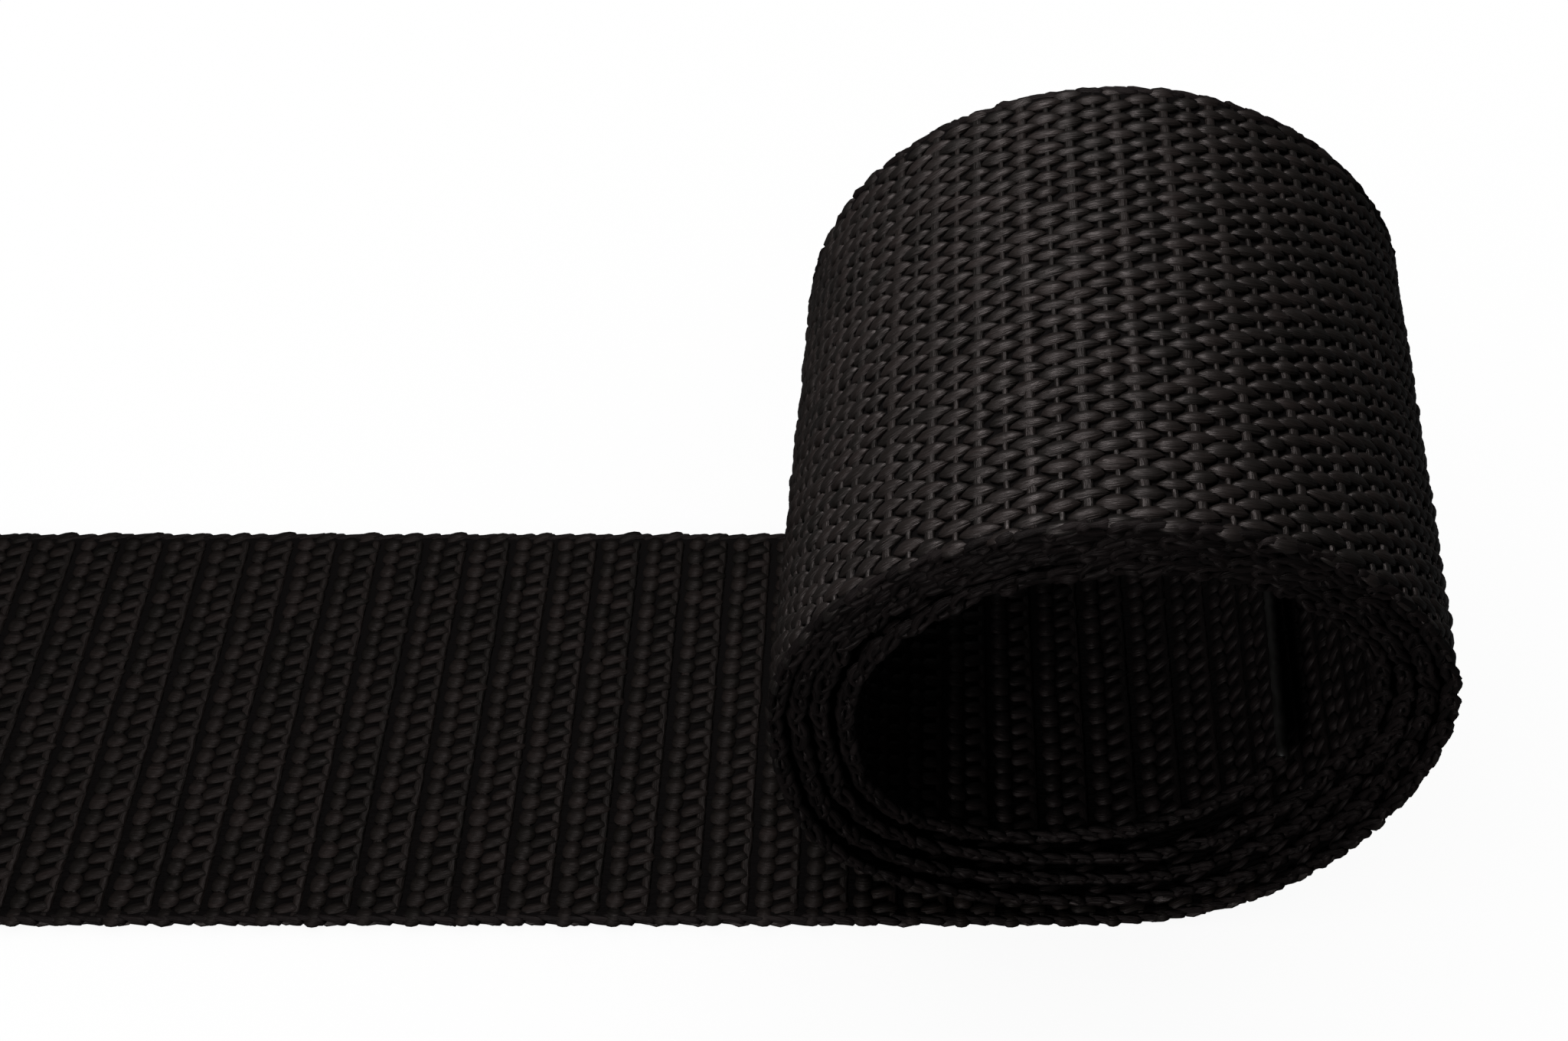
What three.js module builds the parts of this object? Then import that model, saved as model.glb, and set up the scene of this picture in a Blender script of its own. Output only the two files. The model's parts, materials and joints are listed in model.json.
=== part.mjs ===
// Lashing strap: one length of flat woven webbing, wound into a loose roll that stands on its own tail.
// Millimetres, +Z up. The tail runs towards -X, the roll's axis lies along Y.

import * as THREE from "three";

// The webbing, as it is sold by the metre
const strapLength = 1000;
const webbingWidth = 50;
const webbingThickness = 1.4;
// How far the woven edge is rounded in from each corner
const edgeRounding = 0.4;

// The roll, measured to the outer face of the webbing
const rollRadius = 33.4;
// The roll is taller than wide by four times this
const rollOval = 1.7;
const turns = 4;
// Free gap between two turns, and how much wider it is above and below than at the sides
const turnGap = 0.58;
const gapSwing = 0.08;

// Angles run clockwise as seen from the front, from 0 at the bottom of the innermost turn.
// Where the roll departs from an oval: depth is outwards, at an angle, over a half-width in degrees
const unevenness = [
  { depth: 3.0, angle: 45, halfWidth: 45 },
  { depth: 0.7, angle: 220, halfWidth: 60 },
  { depth: -2.5, angle: 298, halfWidth: 62 },
];

// Each turn lies a little further back than the one outside it, most where it rests on the tail
const creepPerTurn = 0.85;
const creepLean = 0.55;

// The inner end runs on past the last full turn and springs up into the eye
const innerEndAngle = 65;
const springLift = 2.3;
const springStart = 20;
const springEnd = -30;

// The innermost turn sags away from the next one at the upper left
const sagDepth = 1.25;
const sagAngle = 140;
const sagSpread = 40;

// Fineness of the faces along the strap
const degreesPerStep = 7.5;
const tailSteps = 6;

const black = new THREE.MeshStandardMaterial({ color: 0x1b1818, roughness: 0.7, metalness: 0 });
black.name = "woven_polypropylene";

const turnPitch = webbingThickness + turnGap;
const rollCentreHeight = rollRadius + rollOval;
const lastAngle = 360 * turns;

function turnsFromOutside(angle) {
  return (lastAngle - angle) / 360;
}

// A smooth swelling of height 1 at its angle, which fades to nothing over the half-width
function swelling(angle, { angle: middle, halfWidth }) {
  const away = Math.abs(THREE.MathUtils.euclideanModulo(angle - middle + 180, 360) - 180);
  return away < halfWidth ? 0.5 * (1 + Math.cos((Math.PI * away) / halfWidth)) : 0;
}

// Distance of the outer face from the roll's centre
function outerFaceRadius(angle) {
  const inward = turnsFromOutside(angle);
  const oval = (rollOval - gapSwing * inward) * Math.cos(2 * THREE.MathUtils.degToRad(angle));
  const uneven = unevenness.reduce((sum, place) => sum + place.depth * swelling(angle, place), 0);
  const sprung = springLift * (1 - THREE.MathUtils.smoothstep(angle, springEnd, springStart));
  const sag = sagDepth * Math.exp(-(((angle - sagAngle) / sagSpread) ** 2));
  return rollRadius - turnPitch * inward + oval + uneven - sprung - sag;
}

// Middle of the webbing at an angle of the roll
function rollPoint(angle) {
  const radians = THREE.MathUtils.degToRad(angle);
  const radius = outerFaceRadius(angle) - webbingThickness / 2;
  const creep = creepPerTurn * turnsFromOutside(angle) * (1 + creepLean * Math.cos(radians));
  return new THREE.Vector3(
    -radius * Math.sin(radians),
    creep,
    rollCentreHeight - radius * Math.cos(radians)
  );
}

// The strap's middle line, from the cut end in the eye to the free end of the tail
class StrapPath extends THREE.Curve {
  constructor() {
    super();
    this.stations = [];
    const rollSteps = Math.ceil((lastAngle + innerEndAngle) / degreesPerStep);
    for (let step = 0; step <= rollSteps; step += 1) {
      this.stations.push(rollPoint(-innerEndAngle + ((lastAngle + innerEndAngle) * step) / rollSteps));
    }
    let lengthInRoll = 0;
    for (let step = 1; step <= rollSteps; step += 1) {
      lengthInRoll += this.stations[step].distanceTo(this.stations[step - 1]);
    }
    const foot = this.stations[rollSteps];
    const tailLength = strapLength - lengthInRoll;
    for (let step = 1; step <= tailSteps; step += 1) {
      this.stations.push(new THREE.Vector3(foot.x - (tailLength * step) / tailSteps, foot.y, foot.z));
    }
  }

  getPoint(t, target = new THREE.Vector3()) {
    const place = t * (this.stations.length - 1);
    const index = Math.min(Math.floor(place), this.stations.length - 2);
    return target.lerpVectors(this.stations[index], this.stations[index + 1], place - index);
  }

  getSpacedPoints(divisions) {
    return this.getPoints(divisions);
  }

  // The webbing's width always lies along Y, so it never twists
  computeFrenetFrames(segments) {
    const tangents = [];
    const normals = [];
    const binormals = [];
    for (let index = 0; index <= segments; index += 1) {
      const before = this.stations[Math.max(index - 1, 0)];
      const after = this.stations[Math.min(index + 1, segments)];
      const tangent = new THREE.Vector3(after.x - before.x, 0, after.z - before.z).normalize();
      const binormal = new THREE.Vector3(0, -1, 0);
      tangents.push(tangent);
      binormals.push(binormal);
      normals.push(new THREE.Vector3().crossVectors(binormal, tangent));
    }
    return { tangents, normals, binormals };
  }
}

// Section across the webbing: thickness along x, width along y, corners rounded by one facet
function webbingSection() {
  const x = webbingThickness / 2;
  const y = webbingWidth / 2;
  const cut = Math.min(edgeRounding, 0.45 * webbingThickness);
  const section = new THREE.Shape();
  section.moveTo(x - cut, -y);
  section.lineTo(x, -y + cut);
  section.lineTo(x, y - cut);
  section.lineTo(x - cut, y);
  section.lineTo(-x + cut, y);
  section.lineTo(-x, y - cut);
  section.lineTo(-x, -y + cut);
  section.lineTo(-x + cut, -y);
  section.closePath();
  return section;
}

function makeStrap() {
  const path = new StrapPath();
  const geometry = new THREE.ExtrudeGeometry(webbingSection(), {
    steps: path.stations.length - 1,
    extrudePath: path,
    bevelEnabled: false,
  });
  const strap = new THREE.Mesh(geometry, black);
  strap.name = "webbing_strap";
  // The origin is on the floor, in the middle of the strap's footprint
  geometry.computeBoundingBox();
  const middle = geometry.boundingBox.getCenter(new THREE.Vector3());
  strap.position.set(-middle.x, -middle.y, -geometry.boundingBox.min.z);
  return strap;
}

const lashingStrap = new THREE.Group();
lashingStrap.add(makeStrap());

export default lashingStrap;
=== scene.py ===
# Lashing strap: flat black webbing in a loose roll that stands on its own tail, built yarn by yarn.
import json
import math
from typing import NamedTuple

import bpy
import numpy as np
from bpy.props import FloatProperty, FloatVectorProperty, IntProperty, PointerProperty
from bpy.types import Operator, Panel, PropertyGroup
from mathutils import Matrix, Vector

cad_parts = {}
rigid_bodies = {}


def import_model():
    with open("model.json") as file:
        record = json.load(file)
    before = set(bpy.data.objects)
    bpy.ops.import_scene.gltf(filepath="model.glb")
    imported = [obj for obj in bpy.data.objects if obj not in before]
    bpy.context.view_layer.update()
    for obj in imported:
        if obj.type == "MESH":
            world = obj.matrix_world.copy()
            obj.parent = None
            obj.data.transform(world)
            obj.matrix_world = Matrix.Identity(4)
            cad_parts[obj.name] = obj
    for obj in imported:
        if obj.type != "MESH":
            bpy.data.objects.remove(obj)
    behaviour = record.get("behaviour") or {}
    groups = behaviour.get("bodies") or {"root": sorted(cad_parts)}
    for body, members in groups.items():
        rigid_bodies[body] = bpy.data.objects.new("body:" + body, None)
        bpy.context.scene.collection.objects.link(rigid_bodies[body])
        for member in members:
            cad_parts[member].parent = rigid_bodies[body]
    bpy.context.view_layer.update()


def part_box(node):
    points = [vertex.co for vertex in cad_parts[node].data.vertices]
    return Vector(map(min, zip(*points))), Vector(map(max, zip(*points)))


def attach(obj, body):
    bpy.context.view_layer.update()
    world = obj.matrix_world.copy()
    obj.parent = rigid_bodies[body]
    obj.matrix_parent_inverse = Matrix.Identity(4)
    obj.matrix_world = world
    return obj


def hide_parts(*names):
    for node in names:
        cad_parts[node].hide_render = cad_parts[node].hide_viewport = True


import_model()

bl_info = {
    "name": "Lashing Strap",
    "version": (1, 0, 0),
    "blender": (4, 5, 0),
    "location": "3D View > Sidebar > Strap",
    "description": "Builds a roll of woven webbing from its yarns, and the stage it is seen on",
    "category": "Object",
}

STRAP_LOW, STRAP_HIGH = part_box("webbing_strap")
BODY = "root"
METRES_PER_MM = 0.001

# The strap's path, in millimetres and degrees, as the frame's solid has it.
# Angles run clockwise as seen from the front, from 0 at the bottom of the innermost turn
THICKNESS = 1.4
ROLL_RADIUS = 33.4
ROLL_OVAL = 1.7
TURNS = 4
TURN_GAP = 0.58
GAP_SWING = 0.08
# Depth outwards, angle and half-width of each place where the roll departs from an oval
UNEVENNESS = ((3.0, 45, 45), (0.7, 220, 60), (-2.5, 298, 62))
CREEP_PER_TURN = 0.85
CREEP_LEAN = 0.55
INNER_END_ANGLE = 65
SPRING_LIFT = 2.3
SPRING_START = 20
SPRING_END = -30
SAG_DEPTH = 1.25
SAG_ANGLE = 140
SAG_SPREAD = 40
LAST_ANGLE = 360 * TURNS
TURN_PITCH = THICKNESS + TURN_GAP
ROLL_CENTRE_HEIGHT = ROLL_RADIUS + ROLL_OVAL
STATIONS_PER_DEGREE = 2
# Straight run added past both ends, so that what stands past a cut end has a place
RUN_OUT = 4.0

# Where one weave gives way to the next, in degrees
EYE_LINING_TO = 330
OUTSIDE_FROM = LAST_ANGLE - 375
OUTERMOST_EDGE_FROM = LAST_ANGLE - 370
FLAT_EDGE_FROM = LAST_ANGLE - 40
TAIL_TOP_FROM = LAST_ANGLE - 30
UNDERSIDE_FROM = LAST_ANGLE - 12
OUTSIDE_WEFTS_TO = LAST_ANGLE - 2
# Length at each cut end that the weave leaves to the melted bead
CUT_MARGIN = 0.6

# Sides of the webbing: the roll's outside is also the tail's underside
OUTSIDE = 1
INSIDE = -1

# The floats of the even columns start a quarter of a row in, and those of the odd ones half a row further
EVEN_ROW_START = 0.25
ODD_ROW_START = 0.75


class Face(NamedTuple):
    """A face of the webbing: its side, how askew its columns run, and how far the odd ones are moved."""

    side: int
    skew: float
    odd_shift: float


OUTER_FACE = Face(side=OUTSIDE, skew=-0.03, odd_shift=0.0)
INNER_FACE = Face(side=INSIDE, skew=0.04, odd_shift=0.45)


class Float(NamedTuple):
    """A short run of warp on a face, in millimetres and degrees."""

    length: float
    width: float
    # Its arch's height, and how far its flat side lies off the webbing's middle
    height: float
    base: float
    lean: float
    # How unlike each other the floats are, as a share of their size
    spread: float
    # Outline: how blunt its ends are, and how soon it narrows towards them
    bluntness: float
    taper: float
    # Height of the arch's shoulders as a share of its crown
    shoulder: float
    # How much of its length is at full height
    flatness: float = 2.2


ROLL_FLOAT = Float(
    length=3.25, width=1.42, height=0.66, base=0.12, lean=5.5, spread=0.10,
    bluntness=1.9, taper=0.85, shoulder=0.62, flatness=2.8,
)
UNDERSIDE_FLOAT = Float(
    length=3.4, width=1.45, height=0.55, base=0.12, lean=4.0, spread=0.02,
    bluntness=1.9, taper=0.95, shoulder=0.8,
)
BUMP = Float(
    length=2.15, width=2.1, height=0.60, base=0.10, lean=0.0, spread=0.05,
    bluntness=2.4, taper=0.5, shoulder=0.72,
)
SLANTED_FLOAT = Float(
    length=3.0, width=1.25, height=0.66, base=0.10, lean=-15.0, spread=0.06,
    bluntness=3.6, taper=0.45, shoulder=0.78,
)
# What shows of the same floats between the turns, which are a little apart
HIDDEN_FLOAT = UNDERSIDE_FLOAT._replace(height=0.60, spread=0.09, shoulder=0.62)
HIDDEN_BUMP = HIDDEN_FLOAT._replace(length=1.9, width=1.85, base=0.10, lean=0.0)
HIDDEN_SLANTED = HIDDEN_FLOAT._replace(length=3.0, width=1.25, height=0.62, base=0.10, lean=-15.0)

# Rings of a float, from end to end as shares of half its length: more where it is seen close to
FULL_STATIONS = (-1, -0.8, -0.45, 0, 0.45, 0.8, 1)
FEW_STATIONS = (-1, -0.6, 0, 0.6, 1)
# Half widths of a float's arch at its foot and at its shoulder, as shares of half the float's width
ARCH_FOOT = 0.92
ARCH_SHOULDER = 0.9
# The smallest width and height at a float's tips, as shares of the whole
TIP_WIDTH = 0.03
TIP_HEIGHT = 0.02
RISE_CURVE = 0.75
# How far floats lean and stray from their places, in degrees and millimetres
FLOAT_LEAN_SPREAD = 3.5
FLOAT_WANDER = 0.07


class Weft(NamedTuple):
    """A yarn across the webbing, in millimetres."""

    half_width: float
    # How far its middle lies off the webbing's middle where it is proud, and half its own height
    base: float
    half_height: float
    # How far it sinks under each float, as a share of its half height
    sink: float = 0.35
    # How far along the strap from the middle of its column it lies
    shift: float = 0.0


WIDE_WEFT = Weft(half_width=0.48, base=0.32, half_height=0.26)
NARROW_WEFT = Weft(half_width=0.27, base=0.32, half_height=0.22, shift=0.15)
LADDER_WEFT = Weft(half_width=0.55, base=0.26, half_height=0.24, sink=0.2)
SPINE_WEFT = Weft(half_width=0.52, base=0.24, half_height=0.34, sink=0.55, shift=-0.9)

WEFT_SIDES = 6
WEFT_RINGS_PER_ROW = 2
# How far a weft stops short of the edge, and how far it strays along the strap, in millimetres
WEFT_MARGIN = 0.5
WEFT_WANDER = 0.04

# The core, in millimetres: thin between the faces, and thick along its edge, where it fills the loops
CORE_HALF_THICKNESS = 0.14
CORE_EDGE_IN = 0.45
CORE_END_IN = 0.3
CORE_STATIONS = 601
RIM_HALF_THICKNESS = 0.46
RIM_WIDTH = 0.5
RIM_SLOPE = 0.35
RIM_BEVEL = 0.15

# The chain of loops along each edge, in millimetres and degrees
LOOP_HALF_LENGTH = 1.55
LOOP_HALF_HEIGHT = 0.52
LOOP_TILT = 0.22
LOOP_EDGE_IN = 0.36
LOOP_YARN_RADIUS = 0.38
LOOP_RINGS = 16
LOOP_YARN_SIDES = 5
# Place of the first loop, in loops from the cut end
FIRST_LOOP = 0.8
# A loop's way outwards from its line, along the strap and off it, before it is made one unit long
LOOP_OUTWARD = (0.44, 1.5)
# How unlike the loose loops are in size, in the yarn's thickness, in their turn and in their place
LOOP_SPREAD = 0.14
LOOP_SWELL = 0.2
LOOP_TURN = 12
LOOP_WANDER = 0.08
TAIL_LOOSENESS = 0.3
# How far a loop's line reaches off the webbing's middle
LOOP_REACH = 0.66
TAIL_REACH_UP = 0.30
TAIL_REACH_DOWN = 0.27
OUTERMOST_REACH = 0.40
# Lengths around a loop and around its yarn, for the filaments
LOOP_AROUND = 6
YARN_AROUND = 1.2

# The melted bead across each end, in millimetres
BEAD_HALF_LENGTH = 0.45
BEAD_HALF_HEIGHT = 0.6
BEAD_MARGIN = 0.1
BEAD_RIPPLE = 0.07
BEAD_ROUNDING = 0.5
BEAD_RINGS = 90
BEAD_SIDES = 10

# Seeds of the random draws; a piece with several kinds of yarn takes the numbers that follow too
ROLL_FLOAT_SEED = 11
ROLL_WEFT_SEED = 21
TAIL_TOP_SEED = 31
EYE_LINING_SEED = 41
UNDERSIDE_SEED = 51
EDGE_SEED = 61
HIDDEN_TURN_SEED = 71
CUT_END_SEED = 81
# Span of the noise over which the yarns are scattered, in millimetres
NOISE_SPAN = 50

# Sockets of the Mix node for its two colours and its result
MIX_FIRST_COLOUR = 6
MIX_SECOND_COLOUR = 7
MIX_RESULT = 2

POLYPROPYLENE_IOR = 1.49
# Filaments are 0.04 mm thick, and are drawn about 0.2 mm thick to show at all
FILAMENTS_PER_MM = 4.5
# Bundles of filaments are about 0.4 mm across, and take the light a little differently
BUNDLES_PER_MM = 2.5
# Yarns in the core are 0.5 mm apart across the webbing
PACKED_YARNS_PER_MM = 2.0
# Ripples in the melted bead are about 1.5 mm apart, where the knife dragged
RIPPLES_PER_METRE = 650.0
# Paper fibres are about 1 mm long, which leaves the floor plain at this distance
PAPER_FIBRES_PER_METRE = 900.0

# Where each soft box stands, how wide it is, and the place in the roll that they all face, in metres
KEY_PLACE = (0.065, 0.025, 0.20)
KEY_SIZE = 0.08
BACK_PLACE = (0.06, 0.35, 0.35)
BACK_SIZE = 0.25
FRONT_PLACE = (-0.09, -0.36, 0.20)
FRONT_SIZE = 0.2
SOFT_BOX_AIM = (0.06, 0.0, 0.04)

FLOOR_HALF_SIZE = 3.0
WHITE = (1, 1, 1, 1)

# The camera at the photograph's viewing angle, in metres and degrees, and its lens in millimetres
CAMERA_PLACE = (0.1028, -0.1104, 0.1801)
CAMERA_TILT = 37
CAMERA_SHIFT = -0.1704
LENS = 42.6
SENSOR_WIDTH = 36


def linear_from_hex(text):
    """Linear colour of an sRGB hex value."""
    values = [int(text[place:place + 2], 16) / 255 for place in (0, 2, 4)]
    return tuple(value / 12.92 if value <= 0.04045 else ((value + 0.055) / 1.055) ** 2.4 for value in values)


def settings():
    """The sizes and colours in the scene."""
    return bpy.context.scene.lashing_strap


def webbing_width():
    """Width of the webbing in millimetres."""
    return settings().width / METRES_PER_MM


def row_pitch():
    """Distance between two floats of one column, across the webbing, in millimetres."""
    return webbing_width() / settings().rows


def strap_collection():
    """The collection of the strap's pieces, which the soft boxes light."""
    name = "lashing_strap"
    if name not in bpy.data.collections:
        bpy.context.scene.collection.children.link(bpy.data.collections.new(name))
    return bpy.data.collections[name]


def outer_face_radius(angle):
    """Distance of the webbing's outer face from the roll's centre, in millimetres."""
    inward = (LAST_ANGLE - angle) / 360
    radius = ROLL_RADIUS - TURN_PITCH * inward
    radius = radius + (ROLL_OVAL - GAP_SWING * inward) * np.cos(2 * np.radians(angle))
    for depth, middle, half_width in UNEVENNESS:
        away = np.abs((angle - middle + 180) % 360 - 180)
        swelling = depth * 0.5 * (1 + np.cos(np.pi * away / half_width))
        radius = radius + np.where(away < half_width, swelling, 0)
    rise = np.clip((angle - SPRING_END) / (SPRING_START - SPRING_END), 0, 1)
    radius = radius - SPRING_LIFT * (1 - rise * rise * (3 - 2 * rise))
    return radius - SAG_DEPTH * np.exp(-(((angle - SAG_ANGLE) / SAG_SPREAD) ** 2))


class StrapPath:
    """The webbing's middle line, from the cut end in the eye to the free end of the tail."""

    def __init__(self):
        count = (LAST_ANGLE + INNER_END_ANGLE) * STATIONS_PER_DEGREE + 1
        angle = np.linspace(-INNER_END_ANGLE, LAST_ANGLE, count)
        turned = np.radians(angle)
        face = outer_face_radius(angle)
        radius = face - THICKNESS / 2
        low, high = (np.array(corner) / METRES_PER_MM for corner in (STRAP_LOW, STRAP_HIGH))
        centre_x = high[0] - (-face * np.sin(turned)).max()
        tail_y = low[1] + webbing_width() / 2
        creep = CREEP_PER_TURN * (LAST_ANGLE - angle) / 360 * (1 + CREEP_LEAN * np.cos(turned))
        roll = np.stack([
            centre_x - radius * np.sin(turned),
            tail_y + creep,
            ROLL_CENTRE_HEIGHT - radius * np.cos(turned),
        ], 1)
        start = roll[0] + (roll[0] - roll[1]) / np.linalg.norm(roll[0] - roll[1]) * RUN_OUT
        tail_end = np.array([low[0], roll[-1, 1], roll[-1, 2]])
        line = np.vstack([start, roll, tail_end, tail_end - [RUN_OUT, 0, 0]])
        step = np.hypot(*(line[1:] - line[:-1])[:, [0, 2]].T)
        self.along = np.concatenate([[0], np.cumsum(step)]) - RUN_OUT
        self.line = line
        slope = np.gradient(line[:, [0, 2]], self.along, axis=0)
        # The tail and the roll's foot lie level
        slope[-3:] = (-1, 0)
        slope /= np.linalg.norm(slope, axis=1)[:, None]
        # Outwards from the roll, which is downwards from the tail
        self.outward = np.stack([-slope[:, 1], slope[:, 0]], 1)
        self.angle = angle
        self.length = self.along[-2]

    def at_angle(self, angle):
        """Length of strap between the inner end and an angle of the roll."""
        return float(np.interp(angle, self.angle, self.along[1:1 + len(self.angle)]))

    def lay(self, places):
        """Points in metres of places given as (along, across, outwards) in millimetres of the webbing."""
        x, y, z = (np.interp(places[..., 0], self.along, self.line[:, axis]) for axis in range(3))
        out_x, out_z = (np.interp(places[..., 0], self.along, self.outward[:, axis]) for axis in range(2))
        laid = np.stack([
            x + places[..., 2] * out_x,
            y + places[..., 1],
            z + places[..., 2] * out_z,
        ], -1)
        return laid * METRES_PER_MM


class Yarns:
    """Gathers closed lofted yarns and makes one mesh piece of them."""

    def __init__(self, path):
        self.path = path
        self.points = []
        self.fibres = []
        self.tones = []
        self.quads = []
        self.triangles = []
        self.count = 0

    def add(self, rings, fibres, tones, flipped=False):
        """Adds lofts closed at both ends, rings[loft, ring, corner] as places on the strap."""
        ring_count, corners = rings.shape[1:3]
        spot = np.arange(ring_count * corners).reshape(ring_count, corners)
        following = np.roll(spot, -1, axis=1)
        quads = np.stack([spot[:-1], following[:-1], following[1:], spot[1:]], -1).reshape(-1, 4)
        fan = np.arange(1, corners - 1)
        zero = np.zeros_like(fan)
        first = np.stack([spot[0][zero], spot[0][fan + 1], spot[0][fan]], -1)
        last = np.stack([spot[-1][zero], spot[-1][fan], spot[-1][fan + 1]], -1)
        caps = np.vstack([first, last])
        if flipped:
            quads, caps = quads[:, ::-1], caps[:, ::-1]
        self.gather(rings, fibres, tones, quads, caps)

    def add_loops(self, rings, fibres, tones):
        """Adds lofts whose last ring joins the first."""
        ring_count, corners = rings.shape[1:3]
        spot = np.arange(ring_count * corners).reshape(ring_count, corners)
        aside, onward = np.roll(spot, -1, axis=1), np.roll(spot, -1, axis=0)
        both = np.roll(aside, -1, axis=0)
        quads = np.stack([spot, onward, both, aside], -1).reshape(-1, 4)
        self.gather(rings, fibres, tones, quads, np.zeros((0, 3), int))

    def gather(self, rings, fibres, tones, quads, triangles):
        """Keeps the points and faces of every loft; each loft has its own tone."""
        lofts, ring_count, corners = rings.shape[:3]
        each = ring_count * corners
        offset = self.count + np.arange(lofts)[:, None, None] * each
        self.quads.append((quads + offset).reshape(-1, 4))
        self.triangles.append((triangles + offset).reshape(-1, 3))
        self.points.append(self.path.lay(rings).reshape(-1, 3))
        self.fibres.append(fibres.reshape(-1, 3))
        self.tones.append(np.repeat(tones, each))
        self.count += lofts * each

    def piece(self, name, material):
        """The mesh object, riding on the frame."""
        points = np.vstack(self.points)
        quads = np.vstack(self.quads)
        triangles = np.vstack(self.triangles)
        mesh = bpy.data.meshes.new(name)
        mesh.vertices.add(len(points))
        mesh.vertices.foreach_set("co", points.astype(np.float32).ravel())
        corners = np.concatenate([quads.ravel(), triangles.ravel()])
        mesh.loops.add(len(corners))
        mesh.loops.foreach_set("vertex_index", corners.astype(np.int32))
        starts = np.concatenate([
            np.arange(len(quads)) * 4,
            quads.size + np.arange(len(triangles)) * 3,
        ])
        mesh.polygons.add(len(starts))
        mesh.polygons.foreach_set("loop_start", starts.astype(np.int32))
        mesh.update(calc_edges=True)
        mesh.shade_smooth()
        place = mesh.attributes.new("fibre_place", "FLOAT_VECTOR", "POINT")
        place.data.foreach_set("vector", np.vstack(self.fibres).astype(np.float32).ravel())
        tone = mesh.attributes.new("yarn_tone", "FLOAT", "POINT")
        tone.data.foreach_set("value", np.concatenate(self.tones).astype(np.float32))
        mesh.validate()
        mesh.materials.append(material)
        piece = bpy.data.objects.new(name, mesh)
        strap_collection().objects.link(piece)
        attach(piece, BODY)
        return piece


def uneven(chance, shape):
    """Departures from even, in a normal spread of 1 that stops at 2."""
    return chance.standard_normal(shape).clip(-2, 2)


def noise_places(chance, shape):
    """A place of its own in the noise for each yarn, at every corner of its rings."""
    return np.broadcast_to(chance.random(shape[0])[:, None, None] * NOISE_SPAN, shape)


def columns_between(face, start, end):
    """Lengths along the strap of the even and of the odd columns between two lengths."""
    column = settings().outer_column if face is OUTER_FACE else settings().inner_column
    pitch = column / METRES_PER_MM
    numbers = np.arange(math.ceil(start / pitch), math.floor(end / pitch) + 1)
    even, odd = numbers[numbers % 2 == 0], numbers[numbers % 2 == 1]
    return even * pitch, odd * pitch + face.odd_shift


def float_middles(face, start, end, rows=None):
    """Middles (along, across) of the floats in the even and in the odd columns between two lengths."""
    picked = np.arange(settings().rows) if rows is None else np.array(rows)
    sets = []
    for along, row_start in zip(columns_between(face, start, end), (EVEN_ROW_START, ODD_ROW_START)):
        across = (picked + row_start) * row_pitch() - webbing_width() / 2
        grid = np.stack(np.meshgrid(along, across, indexing="ij"), -1).reshape(-1, 2)
        grid[:, 0] += face.skew * grid[:, 1]
        sets.append(grid)
    return sets


def float_form(kind, stations):
    """Rings of a float one unit long and wide each way from its middle, flat below and arched above."""
    along = np.array(stations)
    breadth = np.maximum((1 - np.abs(along) ** kind.bluntness) ** kind.taper, TIP_WIDTH)
    rise = np.maximum((1 - np.abs(along) ** kind.flatness) ** RISE_CURVE, TIP_HEIGHT)
    arch = np.array([
        (ARCH_FOOT, 0.0), (ARCH_SHOULDER, kind.shoulder), (0.0, 1.0),
        (-ARCH_SHOULDER, kind.shoulder), (-ARCH_FOOT, 0.0),
    ])
    form = np.zeros((len(along), len(arch), 3))
    form[..., 0] = along[:, None]
    form[..., 1] = arch[:, 0] * breadth[:, None]
    form[..., 2] = arch[:, 1] * rise[:, None]
    return form


def lay_floats(yarns, face, kind, stations, middles, seed):
    """Lays a float on each middle, (along, across), varied a little as hand and loom leave them."""
    chance = np.random.default_rng(seed)
    count = len(middles)
    form = float_form(kind, stations)
    vary = 1 + kind.spread * uneven(chance, (count, 3))
    turned = np.radians(kind.lean + FLOAT_LEAN_SPREAD * uneven(chance, count))[:, None, None]
    along = form[..., 0] * (kind.length / 2 * vary[:, 0])[:, None, None]
    across = form[..., 1] * (kind.width / 2 * vary[:, 1])[:, None, None]
    up = form[..., 2] * (kind.height * vary[:, 2])[:, None, None]
    spot = middles + FLOAT_WANDER * uneven(chance, (count, 2))
    rings = np.stack([
        spot[:, 0, None, None] + along * np.cos(turned) - across * np.sin(turned),
        spot[:, 1, None, None] + along * np.sin(turned) + across * np.cos(turned),
        face.side * (kind.base + up),
    ], -1)
    fibres = np.stack([along, across + up, noise_places(chance, along.shape)], -1)
    yarns.add(rings, fibres, chance.random(count), flipped=face.side == INSIDE)


def lay_wefts(yarns, face, kind, along, row_start, seed):
    """Lays a weft across the webbing at each length along it, low under each float and proud between them."""
    chance = np.random.default_rng(seed)
    reach = webbing_width() / 2 - WEFT_MARGIN
    count = int(round(2 * reach / row_pitch() * WEFT_RINGS_PER_ROW)) + 1
    across = np.linspace(-reach, reach, count)
    turn = np.linspace(0, 2 * np.pi, WEFT_SIDES, endpoint=False)
    between = 0.5 - 0.5 * np.cos(2 * np.pi * (across / row_pitch() - row_start))
    lift = kind.base + kind.half_height * kind.sink * (between - 1)
    wander = WEFT_WANDER * uneven(chance, (len(along), count))
    middle = (along + kind.shift)[:, None] + face.skew * across + wander
    shape = (len(along), count, WEFT_SIDES)
    rings = np.stack([
        middle[..., None] + kind.half_width * np.cos(turn),
        np.broadcast_to(across[:, None], shape),
        np.broadcast_to(face.side * (lift[:, None] + kind.half_height * np.sin(turn)), shape),
    ], -1)
    fibres = np.stack([
        rings[..., 1],
        np.broadcast_to(kind.half_width * turn, shape),
        noise_places(chance, shape),
    ], -1)
    yarns.add(rings, fibres, chance.random(len(along)), flipped=face.side == OUTSIDE)


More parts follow.
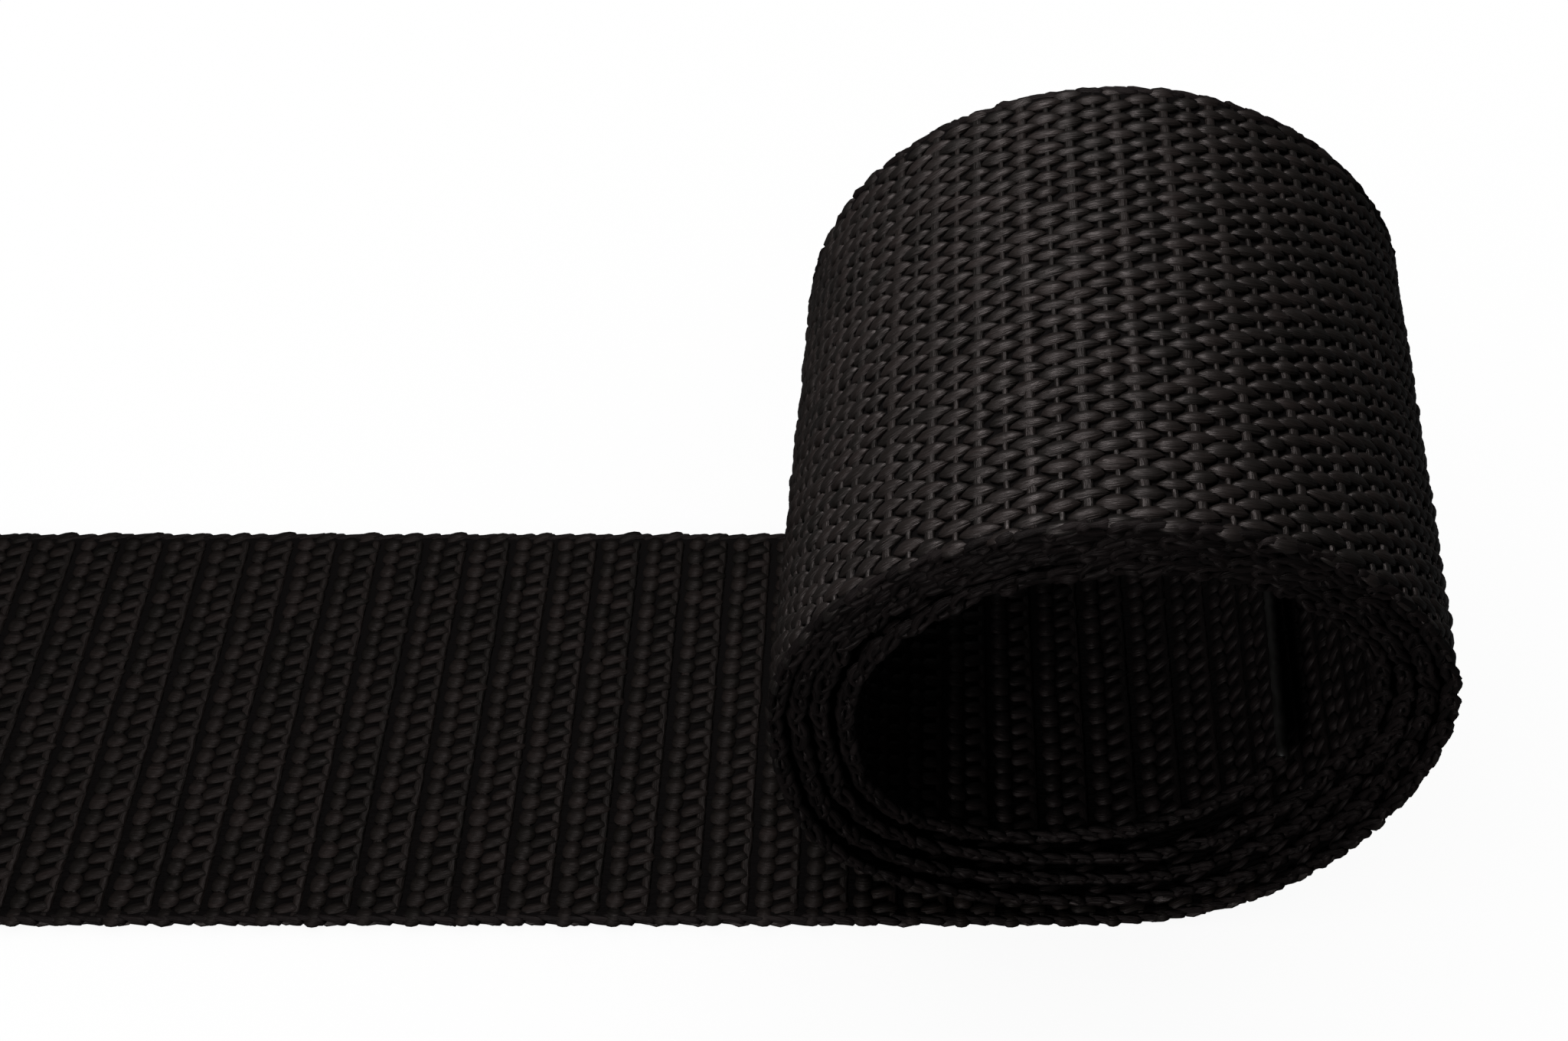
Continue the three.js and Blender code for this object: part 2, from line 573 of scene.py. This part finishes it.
def weave_inside(name, start, end, seed, stations, material):
    """The inner face's weave between two lengths of the strap, as a piece of floats and one of wefts."""
    path = StrapPath()
    bumps, slanted = float_middles(INNER_FACE, start, end)
    floats = Yarns(path)
    lay_floats(floats, INNER_FACE, BUMP, stations, bumps, seed)
    lay_floats(floats, INNER_FACE, SLANTED_FLOAT, stations, slanted, seed + 1)
    floats.piece(name + "_floats", material)
    ladders, spines = columns_between(INNER_FACE, start, end)
    wefts = Yarns(path)
    lay_wefts(wefts, INNER_FACE, LADDER_WEFT, ladders, EVEN_ROW_START, seed + 2)
    lay_wefts(wefts, INNER_FACE, SPINE_WEFT, spines, ODD_ROW_START, seed + 3)
    wefts.piece(name + "_wefts", material)


def add_node(tree, kind, links=None, **values):
    """Adds a node, sets its settings and input values, and links inputs by name or number."""
    node = tree.nodes.new(kind)
    for name, value in values.items():
        if hasattr(node, name):
            setattr(node, name, value)
        else:
            node.inputs[name.replace("_", " ")].default_value = value
    for name, source in (links or {}).items():
        tree.links.new(source, node.inputs[name])
    return node


def new_material(name):
    """The node material of this name, emptied to be built afresh, and its tree."""
    material = bpy.data.materials.get(name) or bpy.data.materials.new(name)
    material.use_nodes = True
    material.node_tree.nodes.clear()
    return material, material.node_tree


def woven_polypropylene():
    """Black spun-dyed polypropylene yarn, woven: dark, with a low waxy gloss broken up by its filaments."""
    look = settings()
    return filament_material("polypropylene_woven", look.yarn_dark, look.yarn_light, look.roughness, 0.16)


def ribbed_polypropylene():
    """The same yarn in the ribbed inner face: its floats are shorter and rounder, and shine less."""
    look = settings()
    return filament_material(
        "polypropylene_ribbed", look.yarn_dark, look.yarn_light, look.roughness + 0.06, 0.07
    )


def knitted_polypropylene_painted_shade():
    """The same yarn knitted into the edge or bent into the roll, duller and in darker colours: the darker
    colours are painted shade, for parts that lie in shade.
    """
    look = settings()
    return filament_material(
        "polypropylene_knitted_painted_shade", look.edge_dark_painted_shade, look.edge_light_painted_shade, look.roughness + 0.1, 0.07
    )


def filament_material(name, dark, light, roughness, specular):
    """A yarn's finish, with its filaments along it."""
    material, tree = new_material(name)
    place = add_node(tree, "ShaderNodeAttribute", attribute_name="fibre_place")
    tone = add_node(tree, "ShaderNodeAttribute", attribute_name="yarn_tone")
    drawn = add_node(
        tree, "ShaderNodeMapping", {"Vector": place.outputs["Vector"]}, Scale=(0.5, FILAMENTS_PER_MM, 1.0)
    )
    filaments = add_node(
        tree, "ShaderNodeTexNoise", {"Vector": drawn.outputs[0]}, Scale=1.0, Detail=2.0, Roughness=0.6
    )
    bundled = add_node(
        tree, "ShaderNodeMapping", {"Vector": place.outputs["Vector"]}, Scale=(0.3, BUNDLES_PER_MM, 1.0)
    )
    bundles = add_node(tree, "ShaderNodeTexNoise", {"Vector": bundled.outputs[0]}, Scale=1.0, Detail=1.0)
    mixed = add_node(
        tree, "ShaderNodeMath", {0: tone.outputs["Fac"], 1: bundles.outputs["Fac"]}, operation="MULTIPLY"
    )
    colour = add_node(tree, "ShaderNodeMix", {0: mixed.outputs[0]}, data_type="RGBA")
    colour.inputs[MIX_FIRST_COLOUR].default_value = (*dark, 1)
    colour.inputs[MIX_SECOND_COLOUR].default_value = (*light, 1)
    gloss = add_node(
        tree, "ShaderNodeMapRange", {"Value": filaments.outputs["Fac"]},
        From_Min=0.3, From_Max=0.7, To_Min=roughness - 0.08, To_Max=roughness + 0.1,
    )
    relief = add_node(
        tree, "ShaderNodeBump", {"Height": filaments.outputs["Fac"]}, Strength=1.0, Distance=0.00012
    )
    surface = add_node(
        tree, "ShaderNodeBsdfPrincipled",
        {
            "Base Color": colour.outputs[MIX_RESULT],
            "Roughness": gloss.outputs["Result"],
            "Normal": relief.outputs["Normal"],
        },
        IOR=POLYPROPYLENE_IOR, Specular_IOR_Level=specular, Specular_Tint=(1.0, 0.88, 0.87, 1),
    )
    add_node(tree, "ShaderNodeOutputMaterial", {"Surface": surface.outputs["BSDF"]})
    return material


def packed_polypropylene_painted_shade():
    """Black polypropylene yarn packed inside the weave, darker and duller than the yarns over it: partly the
    yarn's own black and partly painted shade in the holes between the floats.
    """
    material, tree = new_material("polypropylene_packed_painted_shade")
    place = add_node(tree, "ShaderNodeAttribute", attribute_name="fibre_place")
    drawn = add_node(
        tree, "ShaderNodeMapping", {"Vector": place.outputs["Vector"]}, Scale=(0.6, PACKED_YARNS_PER_MM, 1.0)
    )
    yarns = add_node(tree, "ShaderNodeTexNoise", {"Vector": drawn.outputs[0]}, Scale=1.0, Detail=2.0)
    relief = add_node(
        tree, "ShaderNodeBump", {"Height": yarns.outputs["Fac"]}, Strength=1.0, Distance=0.0002
    )
    # Nearly black and almost without gloss: painted shade in the holes and grooves between the floats
    surface = add_node(
        tree, "ShaderNodeBsdfPrincipled", {"Normal": relief.outputs["Normal"]},
        Base_Color=(*linear_from_hex("060505"), 1), Roughness=0.9, IOR=POLYPROPYLENE_IOR,
        Specular_IOR_Level=0.02,
    )
    add_node(tree, "ShaderNodeOutputMaterial", {"Surface": surface.outputs["BSDF"]})
    return material


def melted_polypropylene():
    """Black polypropylene melted by a hot knife: one smooth bead, dulled by handling, with small ripples."""
    material, tree = new_material("polypropylene_melted")
    where = add_node(tree, "ShaderNodeTexCoord")
    ripples = add_node(
        tree, "ShaderNodeTexNoise", {"Vector": where.outputs["Object"]}, Scale=RIPPLES_PER_METRE, Detail=3.0
    )
    relief = add_node(
        tree, "ShaderNodeBump", {"Height": ripples.outputs["Fac"]}, Strength=0.6, Distance=0.0002
    )
    gloss = add_node(
        tree, "ShaderNodeMapRange", {"Value": ripples.outputs["Fac"]},
        From_Min=0.3, From_Max=0.7, To_Min=0.5, To_Max=0.7,
    )
    surface = add_node(
        tree, "ShaderNodeBsdfPrincipled",
        {"Roughness": gloss.outputs["Result"], "Normal": relief.outputs["Normal"]},
        Base_Color=(*settings().yarn_dark, 1), IOR=POLYPROPYLENE_IOR, Specular_IOR_Level=0.2,
    )
    add_node(tree, "ShaderNodeOutputMaterial", {"Surface": surface.outputs["BSDF"]})
    return material


def paper_matt(stage):
    """White uncoated paper, lit through from below: plain, even and without gloss."""
    material, tree = new_material("paper_matt")
    where = add_node(tree, "ShaderNodeTexCoord")
    fibres = add_node(
        tree, "ShaderNodeTexNoise", {"Vector": where.outputs["Object"]},
        Scale=PAPER_FIBRES_PER_METRE, Detail=2.0,
    )
    relief = add_node(
        tree, "ShaderNodeBump", {"Height": fibres.outputs["Fac"]}, Strength=0.05, Distance=0.0001
    )
    surface = add_node(
        tree, "ShaderNodeBsdfPrincipled", {"Normal": relief.outputs["Normal"]},
        Base_Color=(*stage.floor_colour, 1), Roughness=0.9, Specular_IOR_Level=0.2,
        Emission_Color=WHITE, Emission_Strength=stage.floor_glow,
    )
    add_node(tree, "ShaderNodeOutputMaterial", {"Surface": surface.outputs["BSDF"]})
    return material


class StrapSettings(PropertyGroup):
    """Sizes and finish of the webbing."""

    width: FloatProperty(
        name="Width", description="Width of the webbing", default=0.05, unit="LENGTH", subtype="DISTANCE"
    )
    rows: IntProperty(name="Rows", description="Floats in each column, across the webbing", default=26, min=4)
    outer_column: FloatProperty(
        name="Outer column", description="Distance between two columns of floats on the roll's outside",
        default=0.00215, unit="LENGTH", subtype="DISTANCE",
    )
    inner_column: FloatProperty(
        name="Inner column", description="Distance between two columns of floats on the roll's inside",
        default=0.0026, unit="LENGTH", subtype="DISTANCE",
    )
    loop_pitch: FloatProperty(
        name="Edge loop", description="Distance between two loops of the woven edge",
        default=0.0023, unit="LENGTH", subtype="DISTANCE",
    )
    yarn_dark: FloatVectorProperty(
        name="Dark yarn", description="Darkest colour of the yarn", size=3, subtype="COLOR",
        default=linear_from_hex("080706"),
    )
    yarn_light: FloatVectorProperty(
        name="Light yarn", description="Lightest colour of the yarn", size=3, subtype="COLOR",
        default=linear_from_hex("171211"),
    )
    # Colours of the knitted finish, darker than the yarn's: painted shade on the edge loops, in the eye and
    # between the turns
    edge_dark_painted_shade: FloatVectorProperty(
        name="Dark edge", description="Darkest colour of the knitted edge", size=3, subtype="COLOR",
        default=linear_from_hex("040303"),
    )
    edge_light_painted_shade: FloatVectorProperty(
        name="Light edge", description="Lightest colour of the knitted edge", size=3, subtype="COLOR",
        default=linear_from_hex("120e0e"),
    )
    roughness: FloatProperty(
        name="Roughness", description="How dull the yarn is", default=0.46, min=0, max=1, subtype="FACTOR"
    )


class StageSettings(PropertyGroup):
    """Floor, light and camera."""

    floor_colour: FloatVectorProperty(
        name="Floor", description="Colour of the paper floor", size=3, subtype="COLOR",
        default=linear_from_hex("f4f4f4"),
    )
    floor_glow: FloatProperty(
        name="Floor glow", description="Light that comes up through the floor", default=0.9
    )
    sky: FloatProperty(name="Room light", description="Strength of the even light of the room", default=0.11)
    key: FloatProperty(
        name="Key light", description="Power of the soft box over the roll, in watts", default=0.47,
        unit="POWER",
    )
    front: FloatProperty(
        name="Front light", description="Power of the low soft box in front of the roll, in watts",
        default=1.8, unit="POWER",
    )
    back: FloatProperty(
        name="Back light", description="Power of the soft box behind the roll, in watts", default=0.2,
        unit="POWER",
    )


class STRAP_OT_core(Operator):
    """Lays the closed ribbon of packed yarn that fills the webbing between its faces."""

    bl_idname = "strap.core"
    bl_label = "Webbing Core"

    def execute(self, context):
        path = StrapPath()
        edge = webbing_width() / 2 - CORE_EDGE_IN
        quarter = np.array([
            (0, CORE_HALF_THICKNESS),
            (edge - RIM_WIDTH - RIM_SLOPE, CORE_HALF_THICKNESS),
            (edge - RIM_WIDTH, RIM_HALF_THICKNESS),
            (edge - RIM_BEVEL, RIM_HALF_THICKNESS),
            (edge, RIM_HALF_THICKNESS - RIM_BEVEL),
        ])
        mirrored = quarter * (-1, 1)
        section = np.vstack([quarter[::-1], mirrored[1:], -quarter[:0:-1], -mirrored])
        along = np.linspace(CORE_END_IN, path.length - CORE_END_IN, CORE_STATIONS)
        rings = np.zeros((1, len(along), len(section), 3))
        rings[0, ..., 0] = along[:, None]
        rings[0, ..., 1:] = section
        yarns = Yarns(path)
        yarns.add(rings, rings, np.array([0.0]), flipped=True)
        # The core's dark, dull finish paints the shade in the holes between the floats
        piece = yarns.piece("webbing_core", packed_polypropylene_painted_shade())
        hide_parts("webbing_strap")
        return {"FINISHED"}


class STRAP_OT_roll_outside(Operator):
    """Weaves the roll's outside: pointed floats in a chequer, with the wefts showing between them."""

    bl_idname = "strap.roll_outside"
    bl_label = "Roll Outside"

    def execute(self, context):
        path = StrapPath()
        start = path.at_angle(OUTSIDE_FROM)
        floats = Yarns(path)
        for number, middles in enumerate(float_middles(OUTER_FACE, start, path.at_angle(UNDERSIDE_FROM))):
            lay_floats(floats, OUTER_FACE, ROLL_FLOAT, FULL_STATIONS, middles, ROLL_FLOAT_SEED + number)
        floats.piece("roll_outside_floats", woven_polypropylene())
        narrow, wide = columns_between(OUTER_FACE, start, path.at_angle(OUTSIDE_WEFTS_TO))
        wefts = Yarns(path)
        lay_wefts(wefts, OUTER_FACE, WIDE_WEFT, wide, ODD_ROW_START, ROLL_WEFT_SEED)
        lay_wefts(wefts, OUTER_FACE, NARROW_WEFT, narrow, EVEN_ROW_START, ROLL_WEFT_SEED + 1)
        wefts.piece("roll_outside_wefts", woven_polypropylene())
        return {"FINISHED"}


class STRAP_OT_tail_top(Operator):
    """Weaves the tail's top: ladders of round bumps beside slanted short floats on a spine, and a groove."""

    bl_idname = "strap.tail_top"
    bl_label = "Tail Top"

    def execute(self, context):
        path = StrapPath()
        start, end = path.at_angle(TAIL_TOP_FROM), path.length - CUT_MARGIN
        weave_inside("tail_top", start, end, TAIL_TOP_SEED, FULL_STATIONS, ribbed_polypropylene())
        return {"FINISHED"}


class STRAP_OT_eye(Operator):
    """Weaves the inside of the innermost turn, which lines the eye."""

    bl_idname = "strap.eye"
    bl_label = "Eye Lining"

    def execute(self, context):
        end = StrapPath().at_angle(EYE_LINING_TO)
        # The darker knitted finish paints the shade inside the eye
        weave_inside("eye_lining", CUT_MARGIN, end, EYE_LINING_SEED, FEW_STATIONS, knitted_polypropylene_painted_shade())
        return {"FINISHED"}


class STRAP_OT_underside(Operator):
    """Weaves the tail's underside, flattened where it lies on the floor."""

    bl_idname = "strap.underside"
    bl_label = "Tail Underside"

    def execute(self, context):
        path = StrapPath()
        start, end = path.at_angle(UNDERSIDE_FROM), path.length - CUT_MARGIN
        floats = Yarns(path)
        for number, middles in enumerate(float_middles(OUTER_FACE, start, end)):
            lay_floats(floats, OUTER_FACE, UNDERSIDE_FLOAT, FEW_STATIONS, middles, UNDERSIDE_SEED + number)
        floats.piece("tail_underside_floats", woven_polypropylene())
        return {"FINISHED"}


class STRAP_OT_edges(Operator):
    """Knits the chain of loops along both woven edges."""

    bl_idname = "strap.edges"
    bl_label = "Woven Edges"

    def execute(self, context):
        path = StrapPath()
        pitch = settings().loop_pitch / METRES_PER_MM
        chance = np.random.default_rng(EDGE_SEED)
        count = int(path.length / pitch) - 1
        middles = (np.arange(count) + FIRST_LOOP) * pitch
        on_tail = middles > path.at_angle(FLAT_EDGE_FROM)
        outermost = middles > path.at_angle(OUTERMOST_EDGE_FROM)
        # The roll works the edge loose, and the tail lies flat and even
        looseness = np.where(on_tail, TAIL_LOOSENESS, 1.0)[:, None]
        # The outermost turn's edge is as smooth as its floats, and the tail's doesn't reach below the floor
        reach_out = np.where(outermost, OUTERMOST_REACH, LOOP_REACH)
        reach_out = np.where(on_tail, TAIL_REACH_DOWN, reach_out)[:, None]
        reach_in = np.where(on_tail, TAIL_REACH_UP, LOOP_REACH)[:, None]
        turn = np.linspace(0, 2 * np.pi, LOOP_RINGS, endpoint=False)
        ring = np.linspace(0, 2 * np.pi, LOOP_YARN_SIDES, endpoint=False)
        cos, sin = np.cos(turn)[None], np.sin(turn)[None]
        # Each loop's tube is round about its own line
        outward = np.stack([cos * LOOP_OUTWARD[0], 0 * cos, sin * LOOP_OUTWARD[1]], -1)
        outward = outward / np.linalg.norm(outward, axis=-1, keepdims=True)
        aside = np.array([0, 1, 0])
        for side, name in ((-1, "near_edge_loops"), (1, "far_edge_loops")):
            vary = 1 + LOOP_SPREAD * looseness * uneven(chance, (count, 3))
            onward = LOOP_HALF_LENGTH * vary[:, :1] * cos
            upward = LOOP_HALF_HEIGHT * vary[:, 1:2] * sin
            tilt = LOOP_TILT * vary[:, 2:]
            # Yarn that swells and narrows as it bends
            swelling = LOOP_SWELL * looseness[..., None, None] * uneven(chance, (count, LOOP_RINGS, 1, 1))
            thick = LOOP_YARN_RADIUS * (1 + swelling)
            turned = np.radians(LOOP_TURN * looseness * uneven(chance, (count, 1)))
            moved = LOOP_WANDER * looseness * uneven(chance, (count, 1))
            line = np.stack([
                middles[:, None] + onward * np.cos(turned) - upward * np.sin(turned),
                side * (webbing_width() / 2 - LOOP_EDGE_IN + moved) - side * tilt * cos,
                (onward * np.sin(turned) + upward * np.cos(turned)).clip(-reach_in, reach_out),
            ], -1)
            rings = (
                line[:, :, None, :]
                + thick * np.cos(ring)[:, None] * outward[:, :, None, :]
                + thick * np.sin(ring)[:, None] * aside
            )
            shape = rings.shape[:3]
            fibres = np.stack([
                np.broadcast_to(np.linspace(0, LOOP_AROUND, LOOP_RINGS)[:, None], shape),
                np.broadcast_to(np.linspace(0, YARN_AROUND, LOOP_YARN_SIDES), shape),
                noise_places(chance, shape),
            ], -1)
            yarns = Yarns(path)
            yarns.add_loops(rings, fibres, chance.random(count))
            # The darker knitted finish paints the shade on the edge loops
            yarns.piece(name, knitted_polypropylene_painted_shade())
        return {"FINISHED"}


class STRAP_OT_hidden_turns(Operator):
    """Lays the first floats in from both edges on the faces that the turns hide from each other."""

    bl_idname = "strap.hidden_turns"
    bl_label = "Hidden Turns"

    def execute(self, context):
        path = StrapPath()
        edge_rows = (0, settings().rows - 1)
        outer = float_middles(OUTER_FACE, CUT_MARGIN, path.at_angle(OUTSIDE_FROM), edge_rows)
        bumps, slanted = float_middles(
            INNER_FACE, path.at_angle(EYE_LINING_TO), path.at_angle(TAIL_TOP_FROM), edge_rows
        )
        yarns = Yarns(path)
        for number, middles in enumerate(outer):
            lay_floats(yarns, OUTER_FACE, HIDDEN_FLOAT, FEW_STATIONS, middles, HIDDEN_TURN_SEED + number)
        lay_floats(yarns, INNER_FACE, HIDDEN_BUMP, FEW_STATIONS, bumps, HIDDEN_TURN_SEED + 2)
        lay_floats(yarns, INNER_FACE, HIDDEN_SLANTED, FEW_STATIONS, slanted, HIDDEN_TURN_SEED + 3)
        # The darker knitted finish paints the shade between the turns
        yarns.piece("hidden_turn_edges", knitted_polypropylene_painted_shade())
        return {"FINISHED"}


class STRAP_OT_cut_ends(Operator):
    """Melts a bead along each end, as a hot knife leaves it."""

    bl_idname = "strap.cut_ends"
    bl_label = "Cut Ends"

    def execute(self, context):
        path = StrapPath()
        chance = np.random.default_rng(CUT_END_SEED)
        edge = webbing_width() / 2
        across = np.linspace(-edge + BEAD_MARGIN, edge - BEAD_MARGIN, BEAD_RINGS)
        turn = np.linspace(0, 2 * np.pi, BEAD_SIDES, endpoint=False)
        taper = (np.minimum(1, (edge - np.abs(across)) / BEAD_ROUNDING) ** 0.5)[:, None]
        yarns = Yarns(path)
        for middle in (BEAD_HALF_LENGTH, path.length - BEAD_HALF_LENGTH):
            moved, longer, higher = (BEAD_RIPPLE * uneven(chance, (3, BEAD_RINGS)))[..., None]
            rings = np.zeros((1, BEAD_RINGS, BEAD_SIDES, 3))
            rings[0, ..., 0] = middle + moved + (BEAD_HALF_LENGTH + longer) * np.cos(turn) * taper
            rings[0, ..., 1] = across[:, None]
            rings[0, ..., 2] = (BEAD_HALF_HEIGHT + 0.5 * higher) * np.sin(turn) * taper
            yarns.add(rings, rings, np.array([0.0]), flipped=True)
        yarns.piece("cut_ends", melted_polypropylene())
        return {"FINISHED"}


class STRAP_OT_sheet(Operator):
    """Looks up the core, the yarns around it and the strap's length as cut, and does nothing more with them.
    """

    bl_idname = "strap.sheet"
    bl_label = "Webbing Sheet"

    def execute(self, context):
        core = strap_collection().objects["webbing_core"]
        yarns = [piece for piece in strap_collection().objects if piece != core]
        cut_length = StrapPath().length * METRES_PER_MM
        return {"FINISHED"}


class STRAP_OT_stage(Operator):
    """Sets up the paper floor, the soft light and the camera."""

    bl_idname = "strap.stage"
    bl_label = "Stage"

    def execute(self, context):
        stage = context.scene.strap_stage
        self.lay_floor(context, stage)
        self.light_room(context, stage)
        self.add_soft_box(context, "key_light", KEY_PLACE, KEY_SIZE, stage.key)
        self.add_soft_box(context, "back_light", BACK_PLACE, BACK_SIZE, stage.back)
        self.add_soft_box(context, "front_light", FRONT_PLACE, FRONT_SIZE, stage.front)
        self.add_camera(context)
        context.scene.view_settings.view_transform = "Standard"
        return {"FINISHED"}

    def lay_floor(self, context, stage):
        """A square of paper whose own glow whitens the paper alone."""
        half = FLOOR_HALF_SIZE
        corners = [(-half, -half, 0), (half, -half, 0), (half, half, 0), (-half, half, 0)]
        mesh = bpy.data.meshes.new("paper_floor")
        mesh.from_pydata(corners, [], [(0, 1, 2, 3)])
        mesh.materials.append(paper_matt(stage))
        floor = bpy.data.objects.new("paper_floor", mesh)
        context.scene.collection.objects.link(floor)
        paper = bpy.data.collections.new("paper")
        paper.objects.link(floor)
        floor.light_linking.receiver_collection = paper

    def light_room(self, context, stage):
        """A room that is white to look at, and gives the strap only a little of its light."""
        world = bpy.data.worlds.new("room")
        context.scene.world = world
        world.use_nodes = True
        room = world.node_tree
        room.nodes.clear()
        seen = add_node(room, "ShaderNodeLightPath")
        dim = add_node(room, "ShaderNodeBackground", Color=WHITE, Strength=stage.sky)
        white = add_node(room, "ShaderNodeBackground", Color=WHITE, Strength=1.0)
        either = add_node(
            room, "ShaderNodeMixShader",
            {0: seen.outputs["Is Camera Ray"], 1: dim.outputs["Background"], 2: white.outputs["Background"]},
        )
        add_node(room, "ShaderNodeOutputWorld", {"Surface": either.outputs["Shader"]})

    def add_soft_box(self, context, name, place, size, power):
        """A square soft box aimed at the roll, which lights only the strap and leaves the floor even."""
        data = bpy.data.lights.new(name, "AREA")
        data.size = size
        data.energy = power
        light = bpy.data.objects.new(name, data)
        light.location = place
        light.rotation_euler = (Vector(place) - Vector(SOFT_BOX_AIM)).to_track_quat("Z", "Y").to_euler()
        light.light_linking.receiver_collection = strap_collection()
        context.scene.collection.objects.link(light)

    def add_camera(self, context):
        """The camera, shifted sideways to frame the roll and its tail as the photograph does."""
        data = bpy.data.cameras.new("camera")
        data.lens = LENS
        data.sensor_width = SENSOR_WIDTH
        data.shift_x = CAMERA_SHIFT
        data.clip_start = 0.01
        data.clip_end = 20
        camera = bpy.data.objects.new("camera", data)
        camera.location = CAMERA_PLACE
        camera.rotation_euler = (math.radians(CAMERA_TILT), 0, 0)
        context.scene.collection.objects.link(camera)
        context.scene.camera = camera


OPERATORS = (
    STRAP_OT_stage,
    STRAP_OT_core,
    STRAP_OT_roll_outside,
    STRAP_OT_tail_top,
    STRAP_OT_eye,
    STRAP_OT_underside,
    STRAP_OT_edges,
    STRAP_OT_hidden_turns,
    STRAP_OT_cut_ends,
    STRAP_OT_sheet,
)


class STRAP_PT_sidebar(Panel):
    """Sizes, finish and steps of the lashing strap."""

    bl_idname = "STRAP_PT_sidebar"
    bl_label = "Lashing Strap"
    bl_space_type = "VIEW_3D"
    bl_region_type = "UI"
    bl_category = "Strap"

    def draw(self, context):
        for group in (context.scene.lashing_strap, context.scene.strap_stage):
            for name in group.__annotations__:
                self.layout.prop(group, name)
        for operator in OPERATORS:
            self.layout.operator(operator.bl_idname)


CLASSES = (StrapSettings, StageSettings, *OPERATORS, STRAP_PT_sidebar)


def register():
    for each in CLASSES:
        bpy.utils.register_class(each)
    bpy.types.Scene.lashing_strap = PointerProperty(type=StrapSettings)
    bpy.types.Scene.strap_stage = PointerProperty(type=StageSettings)


def unregister():
    del bpy.types.Scene.strap_stage
    del bpy.types.Scene.lashing_strap
    for each in reversed(CLASSES):
        bpy.utils.unregister_class(each)


def main():
    register()
    bpy.ops.strap.stage()
    bpy.ops.strap.core()
    bpy.ops.strap.roll_outside()
    bpy.ops.strap.tail_top()
    bpy.ops.strap.eye()
    bpy.ops.strap.underside()
    bpy.ops.strap.edges()
    bpy.ops.strap.hidden_turns()
    bpy.ops.strap.cut_ends()
    bpy.ops.strap.sheet()


if __name__ == "__main__":
    main()
